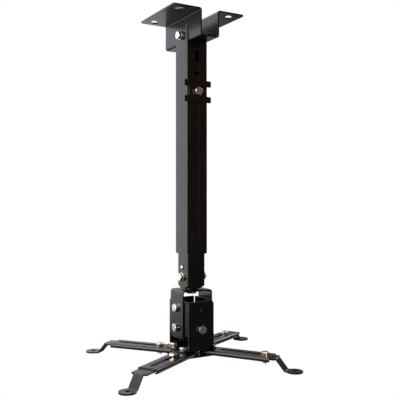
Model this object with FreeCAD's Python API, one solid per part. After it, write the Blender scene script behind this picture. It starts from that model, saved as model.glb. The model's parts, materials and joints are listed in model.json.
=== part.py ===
"""Ceiling mount for a projector, with a telescopic mast, a swivel and tilt head and four spider arms.

The origin is the centre of the ceiling plane, +Z is up, and the mount hangs below it.
The slot of the mast faces -Y. All sizes are in millimetres.
"""
import FreeCAD, Part
import math
import os

Vec = FreeCAD.Vector

# Ceiling bracket: a hat section folded from one sheet
bracket_sheet = 2.0
bracket_width = 105.0
bracket_length = 98.0
bracket_depth = 35.5
bracket_bend = 3.5
bracket_corner = 3.0
ceiling_slot_length = 15.0
ceiling_slot_width = 7.0
ceiling_slot_x = 37.5
ceiling_slot_y = 35.0

# Outer tube, which straddles the bracket's trough with two tongues
outer_size = 32.0
outer_wall = 2.0
outer_corner = 2.5
outer_length = 279.8
trough_gap = 0.2
tongue_rise = 21.5
height_slot_width = 6.5
height_slot_drop = 10.5
height_slot_margin = 18.3
bracket_bolt_rise = 10.5

# Inner tube, which slides in the outer tube
inner_size = 27.0
inner_wall = 1.5
inner_corner = 2.0
inner_above_lock = 40.4
inner_show = 46.0
inner_end_chamfer = 4.0
spare_hole_rise = 25.0
spare_hole_radius = 3.0

# Lock plate on the front of the outer tube
lock_drop = 64.9
lock_plate_thick = 2.0
lock_plate_height = 29.0
lock_plate_width = 40.0
lock_plate_waist = 27.0
lock_plate_bar = 8.0
lock_plate_corner = 1.2

# Neck insert: a folded U inside the lower end of the inner tube
insert_sheet = 2.5
insert_gap = 0.2
insert_depth = 20.0
insert_height = 40.0
insert_bend = 4.0
neck_bolt_rise = 14.7
neck_rivet_rise = 27.3
rivet_head_radius = 2.8
rivet_head_height = 1.5
rivet_shank_radius = 1.6
rivet_tail_height = 1.5

# Yoke: a folded U that opens downwards
fold_sheet = 2.0
fold_bend = 4.0
yoke_depth = 34.0
yoke_leg_corner = 7.0
yoke_height = 63.5

# Tilt box: a folded ring, open above and below, whose ends stop short of one corner
box_width = 40.4
box_length = 50.0
box_seam = 3.0
box_rise = 10.0
box_drop = 8.5
pitch_drop = 24.0
tilt_spacing = 26.0
tilt_limit = 15.0
tilt_slot_margin = 2.0
lock_hole_radius = 2.6

# Cradle: a folded U that opens upwards, with a base wide enough for the arms and a plate below them
cradle_leg_width = 37.4
cradle_rise = 35.5
cradle_drop = 29.0
cradle_base_width = 56.0
cradle_base_corner = 8.0
cradle_leg_corner = 3.0
base_plate_sheet = 2.0

# Arms: shallow C channels on pivots at the corners of the cradle's base
arm_pivot_x = 20.0
arm_pivot_y = 16.0
arm_angles = {"left": 128.5, "front_left": 212.5, "right": 303.5, "back_right": 27.5}
arm_sheet = 1.5
arm_width = 28.0
arm_height = 6.0
arm_reach = 88.0
arm_tail = 10.0
arm_tail_corner = 6.0
arm_lip = 4.0
arm_bend = 3.0
arm_lip_bend = 1.6
arm_slot_width = 6.5
arm_slot_near = 18.5
arm_slot_margin = 10.0

# Foot straps, which slide in the arms
strap_sheet = 2.0
strap_side_gap = 1.5
strap_near = 14.0
strap_show = 12.5
strap_slot_margin = 16.5
strap_slot_stop = {"left": 0.0, "front_left": 7.5, "right": 0.0, "back_right": 0.0}
strap_shoulder_corner = 2.5
leg_width = 13.0
leg_bend = 3.0
leg_run = 12.0
leg_drop = 14.3
foot_radius = 10.5
foot_hole_radius = 3.25
front_left_clamp_step = 8.5
back_right_clamp_step = 6.0
strap_step = {"left": 0.0, "front_left": 7.0, "right": -5.5, "back_right": 0.0}
clamp_on_strap = {"left": True, "front_left": True, "right": False, "back_right": False}

# Fasteners: one small and one large thread
small_shank = 3.0
small_across = 10.0
small_head = 4.0
small_nut = 5.0
large_shank = 4.0
large_across = 13.0
large_head = 5.3
large_nut = 4.0
swivel_bolt_tail = 0.2
washer_thick = 1.6
small_washer_radius = 6.0
large_washer_radius = 8.5
thread_end = 2.0
head_chamfer_angle = 30.0

# Clearances
running_gap = 0.05
face_gap = 0.1
side_gap = 0.3
bolt_gap = 0.25
thread_gap = 0.1
cut_over = 1.0

# Limits for finding the edges to round, and the inner corner of a tube as a share of its wall
same_way_angle = 2.5
edge_near = 0.01
bore_corner_share = 0.3333

# Places worked out from the sizes above
half_outer = outer_size / 2
half_inner = inner_size / 2
trough_half = half_outer - outer_wall - trough_gap
outer_end_z = -bracket_depth - outer_length
height_slot_top_z = -bracket_depth - height_slot_drop
height_slot_end_z = outer_end_z + height_slot_margin
lock_z = -bracket_depth - lock_drop
inner_top_z = lock_z + inner_above_lock
inner_end_z = outer_end_z - inner_show
bracket_bolt_z = -bracket_depth + bracket_bolt_rise
neck_bolt_z = inner_end_z + neck_bolt_rise
neck_rivet_z = inner_end_z + neck_rivet_rise
insert_half = half_inner - inner_wall - insert_gap
insert_floor_z = inner_end_z + insert_sheet
swivel_washer_z = inner_end_z - face_gap
yoke_top_z = swivel_washer_z - washer_thick
yoke_end_z = yoke_top_z - yoke_height
yoke_half = box_width / 2 + side_gap + fold_sheet
swivel_bolt_end_z = yoke_top_z - fold_sheet - large_nut - swivel_bolt_tail
pitch_pivot_z = yoke_top_z - pitch_drop
roll_pivot_z = pitch_pivot_z - tilt_spacing
box_top_z = pitch_pivot_z + box_rise
box_end_z = roll_pivot_z - box_drop
cradle_top_z = roll_pivot_z + cradle_rise
cradle_end_z = roll_pivot_z - cradle_drop
cradle_half = box_length / 2 + side_gap + fold_sheet
cradle_floor_z = cradle_end_z + fold_sheet
arm_top_z = cradle_end_z - face_gap
arm_under_z = arm_top_z - arm_sheet
arm_nut_z = arm_under_z - face_gap
base_plate_top_z = arm_nut_z - small_nut
base_plate_end_z = base_plate_top_z - base_plate_sheet
strap_top_z = arm_under_z - face_gap
strap_under_z = strap_top_z - strap_sheet
strap_width = arm_width - 2 * arm_sheet - 2 * strap_side_gap
arm_slot_far = arm_reach - arm_slot_margin
strap_shoulder = arm_reach + strap_show
strap_slot_far = strap_shoulder - strap_slot_margin
heel = strap_shoulder + leg_run
foot_reach = heel + foot_radius
foot_top_z = strap_top_z - leg_drop
foot_end_z = foot_top_z - strap_sheet
clamp_reach = {
    "left": arm_slot_near,
    "front_left": arm_slot_near + front_left_clamp_step,
    "right": arm_slot_far,
    "back_right": arm_slot_far - back_right_clamp_step,
}

AXIS_X = Vec(1, 0, 0)
AXIS_Y = Vec(0, 1, 0)
AXIS_Z = Vec(0, 0, 1)


def block(low, high):
    """Box between two corners."""
    return Part.makeBox(high[0] - low[0], high[1] - low[1], high[2] - low[2], Vec(*low))


def rod(radius, start, end):
    """Round bar between two points."""
    path = end - start
    return Part.makeCylinder(radius, path.Length, start, path)


def fillet_where(shape, radius, wanted):
    """Round the edges whose middle and direction the test accepts."""
    edges = []
    for edge in shape.Edges:
        if len(edge.Vertexes) != 2:
            continue
        run = edge.Vertexes[1].Point - edge.Vertexes[0].Point
        if wanted(edge.CenterOfMass, run.normalize()):
            edges.append(edge)
    return shape.makeFillet(radius, edges)


def runs_along(run, axis):
    """Whether a direction lies along an axis."""
    return abs(run.dot(axis)) > math.cos(math.radians(same_way_angle))


def along(axis):
    """Test for edges that run along an axis."""
    return lambda middle, run: runs_along(run, axis)


def plate(outline, thickness, direction):
    """Extrude a closed wire or a list of corner points."""
    wire = outline if isinstance(outline, Part.Wire) else Part.makePolygon(outline + outline[:1])
    return Part.Face(wire).extrude(direction * thickness)


def slot_prism(start, end, half_width, direction, depth):
    """Straight slot with round ends, centred on two points, cut along a direction."""
    run = (end - start).normalize()
    side = run.cross(direction) * half_width
    tip = run * half_width
    wire = Part.Wire([
        Part.LineSegment(start + side, end + side).toShape(),
        Part.Arc(end + side, end + tip, end - side).toShape(),
        Part.LineSegment(end - side, start - side).toShape(),
        Part.Arc(start - side, start - tip, start + side).toShape(),
    ])
    return plate(wire, depth, direction)


def arc_slot(centre, radius, half_angle, half_width, side, upward, direction, depth):
    """Curved slot around a pivot, with round ends, cut along a direction."""
    def spot(distance, degrees):
        turn = math.radians(degrees)
        return centre + side * (distance * math.sin(turn)) + upward * (distance * math.cos(turn))

    far = radius + half_width
    near = radius - half_width
    tip = math.degrees(half_width / radius)
    wire = Part.Wire([
        Part.Arc(spot(far, -half_angle), spot(far, 0), spot(far, half_angle)).toShape(),
        Part.Arc(spot(far, half_angle), spot(radius, half_angle + tip), spot(near, half_angle)).toShape(),
        Part.Arc(spot(near, half_angle), spot(near, 0), spot(near, -half_angle)).toShape(),
        Part.Arc(spot(near, -half_angle), spot(radius, -half_angle - tip), spot(far, -half_angle)).toShape(),
    ])
    return plate(wire, depth, direction)


def square_tube(size, wall, corner, low_z, high_z):
    """Square tube on the Z axis with rounded edges."""
    half = size / 2
    bore = half - wall
    outside = fillet_where(block((-half, -half, low_z), (half, half, high_z)), corner, along(AXIS_Z))
    inside = block((-bore, -bore, low_z - cut_over), (bore, bore, high_z + cut_over))
    return outside.cut(fillet_where(inside, max(corner - wall, wall * bore_corner_share), along(AXIS_Z)))


def place(shape, point, axis):
    """Turn a shape made along +Z to an axis and move it to a point."""
    shape.Placement = FreeCAD.Placement(point, FreeCAD.Rotation(AXIS_Z, axis))
    return shape


def hexagon(across, height, bore):
    """Hexagonal prism up from the origin, with its top corners chamfered."""
    corner = across / math.sqrt(3)
    points = []
    for step in range(6):
        turn = math.radians(60 * step)
        points.append(Vec(corner * math.cos(turn), corner * math.sin(turn), 0))
    prism = plate(points, height, AXIS_Z)
    drop = (corner - across / 2) * math.tan(math.radians(head_chamfer_angle))
    skirt = Part.makeCylinder(corner, height - drop)
    crown = Part.makeCone(corner, across / 2, drop, Vec(0, 0, height - drop))
    prism = prism.common(skirt.fuse(crown))
    if bore:
        prism = prism.cut(Part.makeCylinder(bore, height))
    return prism


def bolt(seat, axis, across, head, shank, length):
    """Hexagon bolt: the head stands on its seat, and the shank runs along the axis."""
    top = hexagon(across, head, 0)
    top.rotate(Vec(0, 0, 0), AXIS_X, 180)
    body = Part.makeCylinder(shank, length)
    return place(top.fuse(body).removeSplitter(), seat, axis)


def small_bolt(seat, axis, length):
    """Small bolt with its head on a seat."""
    return bolt(seat, axis, small_across, small_head, small_shank, length)


def small_nut_at(seat, axis):
    """Small nut that stands on a seat and rises along the axis."""
    return place(hexagon(small_across, small_nut, small_shank + thread_gap), seat, axis)


def washer(seat, axis, radius, shank):
    """Flat washer that stands on a seat and rises along the axis."""
    disc = Part.makeCylinder(radius, washer_thick).cut(Part.makeCylinder(shank + bolt_gap, washer_thick))
    return place(disc, seat, axis)


def ceiling_bracket():
    """Hat section: two flanges on the ceiling and a trough that the outer tube straddles."""
    half_w = bracket_width / 2
    half_l = bracket_length / 2
    sheet = bracket_sheet
    inner_bend = bracket_bend - sheet
    flange = block((-half_w, -half_l, -sheet), (half_w, half_l, 0))
    flange = fillet_where(flange, bracket_corner, along(AXIS_Z))
    trough = block((-trough_half, -half_l, -bracket_depth), (trough_half, half_l, 0))
    trough = fillet_where(
        trough, bracket_bend, lambda mid, run: runs_along(run, AXIS_Y) and mid.z < -sheet)
    hat = flange.fuse(trough).removeSplitter()
    hat = fillet_where(
        hat, inner_bend,
        lambda mid, run: runs_along(run, AXIS_Y) and abs(mid.z + sheet) < edge_near
        and abs(mid.x) < half_w - cut_over)
    hollow_half = trough_half - sheet
    hollow = block(
        (-hollow_half, -half_l - cut_over, sheet - bracket_depth), (hollow_half, half_l + cut_over, 0))
    hollow = fillet_where(
        hollow, inner_bend, lambda mid, run: runs_along(run, AXIS_Y) and mid.z < -sheet)
    hat = hat.cut(hollow)
    hat = fillet_where(
        hat, bracket_bend,
        lambda mid, run: runs_along(run, AXIS_Y) and abs(mid.z) < edge_near
        and abs(mid.x) < half_w - cut_over)
    reach = (ceiling_slot_length - ceiling_slot_width) / 2 * math.sqrt(0.5)
    for sx in (-1, 1):
        for sy in (-1, 1):
            middle = Vec(sx * ceiling_slot_x, sy * ceiling_slot_y, -sheet - cut_over)
            step = Vec(reach, -sx * sy * reach, 0)
            hat = hat.cut(slot_prism(
                middle - step, middle + step, ceiling_slot_width / 2, AXIS_Z, sheet + 2 * cut_over))
    hole_end = trough_half + cut_over
    return hat.cut(rod(
        small_shank + bolt_gap, Vec(-hole_end, 0, bracket_bolt_z), Vec(hole_end, 0, bracket_bolt_z)))


def outer_tube():
    """Outer tube: front and back end at the trough, left and right rise as tongues."""
    top_z = tongue_rise - bracket_depth
    tube = square_tube(outer_size, outer_wall, outer_corner, outer_end_z, top_z)
    notch_half = trough_half + trough_gap
    notch = block(
        (-notch_half, -half_outer - cut_over, -bracket_depth),
        (notch_half, half_outer + cut_over, top_z + cut_over))
    tube = tube.cut(notch)
    slot_half = height_slot_width / 2
    tube = tube.cut(slot_prism(
        Vec(0, -half_outer - cut_over, height_slot_end_z + slot_half),
        Vec(0, -half_outer - cut_over, height_slot_top_z - slot_half),
        slot_half, AXIS_Y, outer_wall + 2 * cut_over))
    hole_end = half_outer + cut_over
    return tube.cut(rod(
        small_shank + bolt_gap, Vec(-hole_end, 0, bracket_bolt_z), Vec(hole_end, 0, bracket_bolt_z)))


def inner_tube():
    """Inner tube, with chamfered lower corners and holes for the lock, the rivets and the neck bolt."""
    tube = square_tube(inner_size, inner_wall, inner_corner, inner_end_z, inner_top_z)
    cut = inner_end_chamfer
    for sx in (-1, 1):
        for sy in (-1, 1):
            edge = Vec(sx * half_inner, sy * half_inner, inner_end_z)
            slope = [edge + Vec(0, 0, cut), edge - Vec(sx * 2 * cut, 0, 0), edge - Vec(0, sy * 2 * cut, 0)]
            foot = edge - Vec(0, 0, cut)
            faces = [
                Part.Face(Part.makePolygon([a, b, c, a]))
                for a, b, c in (
                    (slope[0], slope[1], slope[2]),
                    (slope[0], slope[1], foot),
                    (slope[1], slope[2], foot),
                    (slope[2], slope[0], foot),
                )
            ]
            wedge = Part.makeSolid(Part.makeShell(faces))
            tube = tube.cut(wedge)
    front = -half_inner - cut_over
    behind = -half_inner + inner_wall + cut_over
    for height, radius in ((lock_z, small_shank + bolt_gap), (lock_z + spare_hole_rise, spare_hole_radius)):
        tube = tube.cut(rod(radius, Vec(0, front, height), Vec(0, behind, height)))
    hole_end = half_inner + cut_over
    for height, radius in (
            (neck_bolt_z, small_shank + bolt_gap), (neck_rivet_z, rivet_shank_radius + running_gap)):
        tube = tube.cut(rod(radius, Vec(-hole_end, 0, height), Vec(hole_end, 0, height)))
    return tube


def lock_plate():
    """Plate on the front of the outer tube: two bars joined by a waist."""
    half_h = lock_plate_height / 2
    half_w = lock_plate_width / 2
    waist = lock_plate_waist / 2
    inner_h = half_h - lock_plate_bar
    front = -half_outer - face_gap - lock_plate_thick
    corners = [
        (-half_w, -half_h), (half_w, -half_h), (half_w, -inner_h), (waist, -inner_h),
        (waist, inner_h), (half_w, inner_h), (half_w, half_h), (-half_w, half_h),
        (-half_w, inner_h), (-waist, inner_h), (-waist, -inner_h), (-half_w, -inner_h),
    ]
    points = [Vec(x, front, lock_z + z) for x, z in corners]
    sheet = fillet_where(plate(points, lock_plate_thick, AXIS_Y), lock_plate_corner, along(AXIS_Y))
    hole = rod(
        small_shank + bolt_gap, Vec(0, front - cut_over, lock_z), Vec(0, -half_outer + cut_over, lock_z))
    return sheet.cut(hole)


def neck_insert():
    """Folded U in the lower end of the inner tube; its floor carries the swivel bolt."""
    half = insert_half
    half_d = insert_depth / 2
    inner = half - insert_sheet
    top = inner_end_z + insert_height
    shell = block((-half, -half_d, inner_end_z), (half, half_d, top))
    shell = fillet_where(
        shell, insert_bend, lambda mid, run: runs_along(run, AXIS_Y) and mid.z < top - cut_over)
    hollow = block((-inner, -half_d - cut_over, insert_floor_z), (inner, half_d + cut_over, top + cut_over))
    hollow = fillet_where(
        hollow, insert_bend - insert_sheet,
        lambda mid, run: runs_along(run, AXIS_Y) and mid.z < top - cut_over)
    shell = shell.cut(hollow)
    shell = shell.cut(rod(
        large_shank + running_gap, Vec(0, 0, inner_end_z - cut_over), Vec(0, 0, insert_floor_z + cut_over)))
    hole_end = half + cut_over
    for height, radius in (
            (neck_bolt_z, small_shank + bolt_gap), (neck_rivet_z, rivet_shank_radius + running_gap)):
        shell = shell.cut(rod(radius, Vec(-hole_end, 0, height), Vec(hole_end, 0, height)))
    return shell


def neck_rivet(sx):
    """Domed rivet that holds one leg of the insert to the tube."""
    sphere = (rivet_head_radius ** 2 + rivet_head_height ** 2) / (2 * rivet_head_height)
    dome = Part.makeSphere(sphere, Vec(0, 0, rivet_head_height - sphere))
    dome = dome.common(Part.makeCylinder(rivet_head_radius + cut_over, rivet_head_height))
    grip = inner_wall + insert_gap + insert_sheet
    shank = Part.makeCylinder(rivet_shank_radius, grip, Vec(0, 0, -grip))
    tail = Part.makeCylinder(rivet_head_radius, rivet_tail_height, Vec(0, 0, -grip - rivet_tail_height))
    rivet = dome.fuse(shank).fuse(tail).removeSplitter()
    return place(rivet, Vec(sx * half_inner, 0, neck_rivet_z), Vec(sx, 0, 0))


def yoke():
    """Folded U that opens downwards, with a pivot hole and a curved slot in each leg."""
    half_d = yoke_depth / 2
    inner = yoke_half - fold_sheet
    floor = yoke_top_z - fold_sheet
    shell = block((-yoke_half, -half_d, yoke_end_z), (yoke_half, half_d, yoke_top_z))
    shell = fillet_where(
        shell, fold_bend, lambda mid, run: runs_along(run, AXIS_Y) and mid.z > floor)
    shell = fillet_where(
        shell, yoke_leg_corner, lambda mid, run: runs_along(run, AXIS_X) and mid.z < floor)
    hollow = block((-inner, -half_d - cut_over, yoke_end_z - cut_over), (inner, half_d + cut_over, floor))
    hollow = fillet_where(
        hollow, fold_bend - fold_sheet,
        lambda mid, run: runs_along(run, AXIS_Y) and mid.z > floor - cut_over)
    shell = shell.cut(hollow)
    shell = shell.cut(rod(
        large_shank + bolt_gap, Vec(0, 0, floor - cut_over), Vec(0, 0, yoke_top_z + cut_over)))
    hole_end = yoke_half + cut_over
    pivot = Vec(-hole_end, 0, pitch_pivot_z)
    shell = shell.cut(rod(small_shank + running_gap, pivot, pivot + AXIS_X * 2 * hole_end))
    return shell.cut(arc_slot(
        pivot, tilt_spacing, tilt_limit + tilt_slot_margin, small_shank + bolt_gap,
        AXIS_Y, -AXIS_Z, AXIS_X, 2 * hole_end))


def tilt_box():
    """Folded ring between the yoke and the cradle, with its seam at the back right corner."""
    half_x = box_width / 2
    half_y = box_length / 2
    ring = block((-half_x, -half_y, box_end_z), (half_x, half_y, box_top_z))
    ring = fillet_where(ring, fold_bend, along(AXIS_Z))
    hollow = block(
        (fold_sheet - half_x, fold_sheet - half_y, box_end_z - cut_over),
        (half_x - fold_sheet, half_y - fold_sheet, box_top_z + cut_over))
    ring = ring.cut(fillet_where(hollow, fold_bend - fold_sheet, along(AXIS_Z)))
    far_x = half_x + cut_over
    far_y = half_y + cut_over
    ring = ring.cut(block(
        (half_x - box_seam, half_y - box_seam, box_end_z - cut_over),
        (far_x, far_y, box_top_z + cut_over)))
    for height in (pitch_pivot_z, roll_pivot_z):
        ring = ring.cut(rod(small_shank + bolt_gap, Vec(-far_x, 0, height), Vec(far_x, 0, height)))
    for height, radius in ((pitch_pivot_z, lock_hole_radius), (roll_pivot_z, small_shank + bolt_gap)):
        ring = ring.cut(rod(radius, Vec(0, -far_y, height), Vec(0, far_y, height)))
    return ring


def base_sheet(low_z, high_z):
    """Flat plate with rounded corners, as large as the cradle's base."""
    half_x = cradle_base_width / 2
    half_y = cradle_half - fold_bend
    return fillet_where(
        block((-half_x, -half_y, low_z), (half_x, half_y, high_z)), cradle_base_corner, along(AXIS_Z))


def base_plate():
    """Plate below the arms, tapped for the pivot bolts."""
    sheet = base_sheet(base_plate_end_z, base_plate_top_z)
    for spot in arm_pivots().values():
        sheet = sheet.cut(rod(
            small_shank + thread_gap,
            spot + AXIS_Z * (base_plate_end_z - cut_over), spot + AXIS_Z * (base_plate_top_z + cut_over)))
    return sheet


def cradle():
    """Folded U that opens upwards; its wide base carries the four arm pivots."""
    half_w = cradle_leg_width / 2
    inner = cradle_half - fold_sheet
    shell = block((-half_w, -cradle_half, cradle_end_z), (half_w, cradle_half, cradle_top_z))
    shell = fillet_where(
        shell, fold_bend, lambda mid, run: runs_along(run, AXIS_X) and mid.z < cradle_floor_z)
    shell = fillet_where(
        shell, cradle_leg_corner, lambda mid, run: runs_along(run, AXIS_Y) and mid.z > cradle_floor_z)
    hollow = block((-half_w - cut_over, -inner, cradle_floor_z), (half_w + cut_over, inner, 0))
    hollow = fillet_where(
        hollow, fold_bend - fold_sheet,
        lambda mid, run: runs_along(run, AXIS_X) and mid.z < cradle_floor_z + cut_over)
    shell = shell.cut(hollow)
    shell = shell.fuse(base_sheet(cradle_end_z, cradle_floor_z)).removeSplitter()
    for spot in arm_pivots().values():
        shell = shell.cut(rod(
            small_shank + bolt_gap,
            spot + AXIS_Z * (cradle_end_z - cut_over), spot + AXIS_Z * (cradle_floor_z + cut_over)))
    far = cradle_half + cut_over
    pivot = Vec(0, -far, roll_pivot_z)
    shell = shell.cut(rod(small_shank + running_gap, pivot, pivot + AXIS_Y * 2 * far))
    return shell.cut(arc_slot(
        pivot, tilt_spacing, tilt_limit + tilt_slot_margin, small_shank + bolt_gap,
        AXIS_X, AXIS_Z, AXIS_Y, 2 * far))


def arm_pivots():
    """Pivot of each arm, in plan."""
    spots = {}
    for name, degrees in arm_angles.items():
        turn = math.radians(degrees)
        sx = math.copysign(1, math.cos(turn))
        sy = math.copysign(1, math.sin(turn))
        spots[name] = Vec(sx * arm_pivot_x, sy * arm_pivot_y, 0)
    return spots


def turn_out(shape, name):
    """Turn a shape made along +X from the origin to an arm's pivot and direction."""
    moved = shape.copy()
    moved.rotate(Vec(0, 0, 0), AXIS_Z, arm_angles[name])
    moved.translate(arm_pivots()[name])
    return moved


def arm_shape():
    """Arm along +X from its pivot: a C channel with a long slot, rounded in plan behind the pivot."""
    half = arm_width / 2
    inner = half - arm_sheet
    low_z = arm_top_z - arm_height
    tail = -arm_tail
    over = tail - cut_over
    channel = block((tail, -half, low_z), (arm_reach, half, arm_top_z))
    channel = fillet_where(
        channel, arm_bend, lambda mid, run: runs_along(run, AXIS_X) and mid.z > arm_under_z)
    channel = fillet_where(
        channel, arm_lip_bend, lambda mid, run: runs_along(run, AXIS_X) and mid.z < low_z + edge_near)
    hollow = block((over, -inner, low_z + arm_sheet), (arm_reach + cut_over, inner, arm_under_z))
    hollow = fillet_where(
        hollow, arm_bend - arm_sheet,
        lambda mid, run: runs_along(run, AXIS_X) and mid.z > arm_under_z - cut_over)
    mouth = block(
        (over, arm_lip - half, low_z - cut_over), (arm_reach + cut_over, half - arm_lip, arm_under_z))
    channel = channel.cut(hollow).cut(mouth)
    flange_start = arm_tail_corner - arm_tail
    channel = channel.cut(block(
        (over, -half - cut_over, low_z - cut_over), (flange_start, half + cut_over, arm_under_z)))
    plan = block((tail, -half, low_z), (arm_reach, half, arm_top_z))
    plan = fillet_where(plan, arm_tail_corner, lambda mid, run: runs_along(run, AXIS_Z) and mid.x < 0)
    arm = channel.common(plan)
    arm = arm.cut(rod(
        small_shank + running_gap, Vec(0, 0, arm_under_z - cut_over), Vec(0, 0, arm_top_z + cut_over)))
    start = Vec(arm_slot_near, 0, arm_under_z - cut_over)
    end = Vec(arm_slot_far, 0, arm_under_z - cut_over)
    return arm.cut(slot_prism(start, end, arm_slot_width / 2, AXIS_Z, arm_sheet + 2 * cut_over))


def strap_shape(name):
    """Foot strap along +X: a slotted bar, a sloping leg and a ring foot, folded from one sheet."""
    half = strap_width / 2
    half_leg = leg_width / 2
    bar = block((strap_near, -half, strap_under_z), (strap_shoulder, half, strap_top_z))
    bar = fillet_where(bar, strap_shoulder_corner, along(AXIS_Z))
    start = Vec(arm_slot_near, 0, strap_under_z - cut_over)
    end = Vec(strap_slot_far - strap_slot_stop[name], 0, strap_under_z - cut_over)
    bar = bar.cut(slot_prism(start, end, arm_slot_width / 2, AXIS_Z, strap_sheet + 2 * cut_over))
    slope = Vec(heel - strap_shoulder, 0, foot_top_z - strap_top_z)
    lean = math.atan2(-slope.z, slope.x)
    shift = strap_sheet * math.tan(lean / 2)
    leg_points = [
        Vec(strap_shoulder - leg_width, -half_leg, strap_top_z),
        Vec(strap_shoulder, -half_leg, strap_top_z),
        Vec(heel, -half_leg, foot_top_z),
        Vec(foot_reach, -half_leg, foot_top_z),
        Vec(foot_reach, -half_leg, foot_end_z),
        Vec(heel - shift, -half_leg, foot_end_z),
        Vec(strap_shoulder - shift, -half_leg, strap_under_z),
        Vec(strap_shoulder - leg_width, -half_leg, strap_under_z),
    ]
    leg = plate(leg_points, leg_width, AXIS_Y)

    def crosses(*places):
        return lambda mid, run: runs_along(run, AXIS_Y) and any(abs(mid.x - x) < edge_near for x in places)

    leg = fillet_where(leg, leg_bend, crosses(strap_shoulder, heel - shift))
    leg = fillet_where(leg, leg_bend - strap_sheet, crosses(strap_shoulder - shift, heel))
    ring = rod(foot_radius, Vec(foot_reach, 0, foot_end_z), Vec(foot_reach, 0, foot_top_z))
    strap = bar.fuse([leg, ring]).removeSplitter()
    hole_low = Vec(foot_reach, 0, foot_end_z - cut_over)
    return strap.cut(rod(foot_hole_radius, hole_low, hole_low + AXIS_Z * (strap_sheet + 2 * cut_over)))


def mast_fasteners():
    """Bolts, washers, nuts and rivets of the bracket, the lock and the neck."""
    parts = {}
    for name, half, height in (("bracket", half_outer, bracket_bolt_z), ("neck", half_inner, neck_bolt_z)):
        seat = half + washer_thick
        left = Vec(-half, 0, height)
        right = Vec(half, 0, height)
        parts[name + "_bolt"] = small_bolt(
            Vec(-seat, 0, height), AXIS_X, 2 * seat + small_nut + thread_end)
        parts[name + "_nut"] = small_nut_at(Vec(seat, 0, height), AXIS_X)
        parts[name + "_washers"] = Part.Compound([
            washer(left, -AXIS_X, small_washer_radius, small_shank),
            washer(right, AXIS_X, small_washer_radius, small_shank),
        ])
    plate_front = -half_outer - face_gap - lock_plate_thick
    nut_seat = -half_inner + inner_wall
    parts["lock_bolt"] = small_bolt(
        Vec(0, plate_front, lock_z), AXIS_Y, nut_seat - plate_front + small_nut + thread_end)
    parts["lock_nut"] = small_nut_at(Vec(0, nut_seat, lock_z), AXIS_Y)
    parts["neck_rivets"] = Part.Compound([neck_rivet(-1), neck_rivet(1)])
    return parts


def head_fasteners():
    """Bolts, washers and nuts of the swivel and of the two tilts."""
    parts = {}
    head_seat = insert_floor_z + face_gap
    parts["swivel_bolt"] = bolt(
        Vec(0, 0, head_seat), -AXIS_Z, large_across, large_head, large_shank, head_seat - swivel_bolt_end_z)
    parts["swivel_washer"] = washer(Vec(0, 0, yoke_top_z), AXIS_Z, large_washer_radius, large_shank)
    nut = hexagon(large_across, large_nut, large_shank + thread_gap)
    parts["swivel_nut"] = place(nut, Vec(0, 0, yoke_top_z - fold_sheet), -AXIS_Z)

    def pair(outside, wall, height, axis):
        bolts = []
        nuts = []
        for sign in (-1, 1):
            inward = axis * -sign
            seat = axis * (sign * (outside + face_gap)) + AXIS_Z * height
            nut_seat = axis * (sign * (wall - fold_sheet)) + AXIS_Z * height
            bolts.append(small_bolt(seat, inward, (seat - nut_seat).Length + small_nut + thread_end))
            nuts.append(small_nut_at(nut_seat, inward))
        return bolts, nuts

    pivots, pivot_nuts = pair(yoke_half, box_width / 2, pitch_pivot_z, AXIS_X)
    locks, lock_nuts = pair(yoke_half, box_width / 2, roll_pivot_z, AXIS_X)
    rolls, roll_nuts = pair(cradle_half, box_length / 2, roll_pivot_z, AXIS_Y)
    parts["pitch_pivot_bolts"] = Part.Compound(pivots)
    parts["pitch_lock_bolts"] = Part.Compound(locks)
    parts["pitch_nuts"] = Part.Compound(pivot_nuts + lock_nuts)
    parts["roll_pivot_bolts"] = Part.Compound(rolls)
    parts["roll_nuts"] = Part.Compound(roll_nuts)
    return parts


def arm_fasteners():
    """Pivot bolts and nuts of the arms, which stay with the cradle."""
    bolts = []
    nuts = []
    for spot in arm_pivots().values():
        bolts.append(small_bolt(
            spot + AXIS_Z * cradle_floor_z, -AXIS_Z, cradle_floor_z - base_plate_end_z))
        nuts.append(small_nut_at(spot + AXIS_Z * arm_nut_z, -AXIS_Z))
    return {"arm_pivot_bolts": Part.Compound(bolts), "arm_pivot_nuts": Part.Compound(nuts)}


def spider():
    """Arms, foot straps and the clamps that hold them."""
    parts = {}
    arm = arm_shape()
    for name in arm_angles:
        reach = clamp_reach[name]
        lift = face_gap if clamp_on_strap[name] else 0
        drop = 0 if clamp_on_strap[name] else face_gap
        head_z = arm_top_z + lift
        nut_z = strap_under_z - drop
        clamp = small_bolt(Vec(reach, 0, head_z), -AXIS_Z, head_z - nut_z + small_nut + thread_end)
        parts["arm_" + name] = turn_out(arm, name)
        moved = strap_shape(name)
        moved.translate(AXIS_X * strap_step[name])
        parts["foot_strap_" + name] = turn_out(moved, name)
        parts["clamp_bolt_" + name] = turn_out(clamp, name)
        parts["clamp_nut_" + name] = turn_out(small_nut_at(Vec(reach, 0, nut_z), -AXIS_Z), name)
    return parts


def main():
    """Build every piece and write one file for each."""
    os.makedirs("parts", exist_ok=True)
    pieces = {
        "ceiling_bracket": ceiling_bracket(),
        "outer_tube": outer_tube(),
        "inner_tube": inner_tube(),
        "lock_plate": lock_plate(),
        "neck_insert": neck_insert(),
        "yoke": yoke(),
        "tilt_box": tilt_box(),
        "cradle": cradle(),
        "base_plate": base_plate(),
    }
    pieces.update(mast_fasteners())
    pieces.update(head_fasteners())
    pieces.update(arm_fasteners())
    pieces.update(spider())
    for name, shape in pieces.items():
        if not shape.isValid():
            print("invalid", name)
        shape.exportStep("parts/" + name + ".step")
    print(len(pieces), "pieces")


main()
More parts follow.
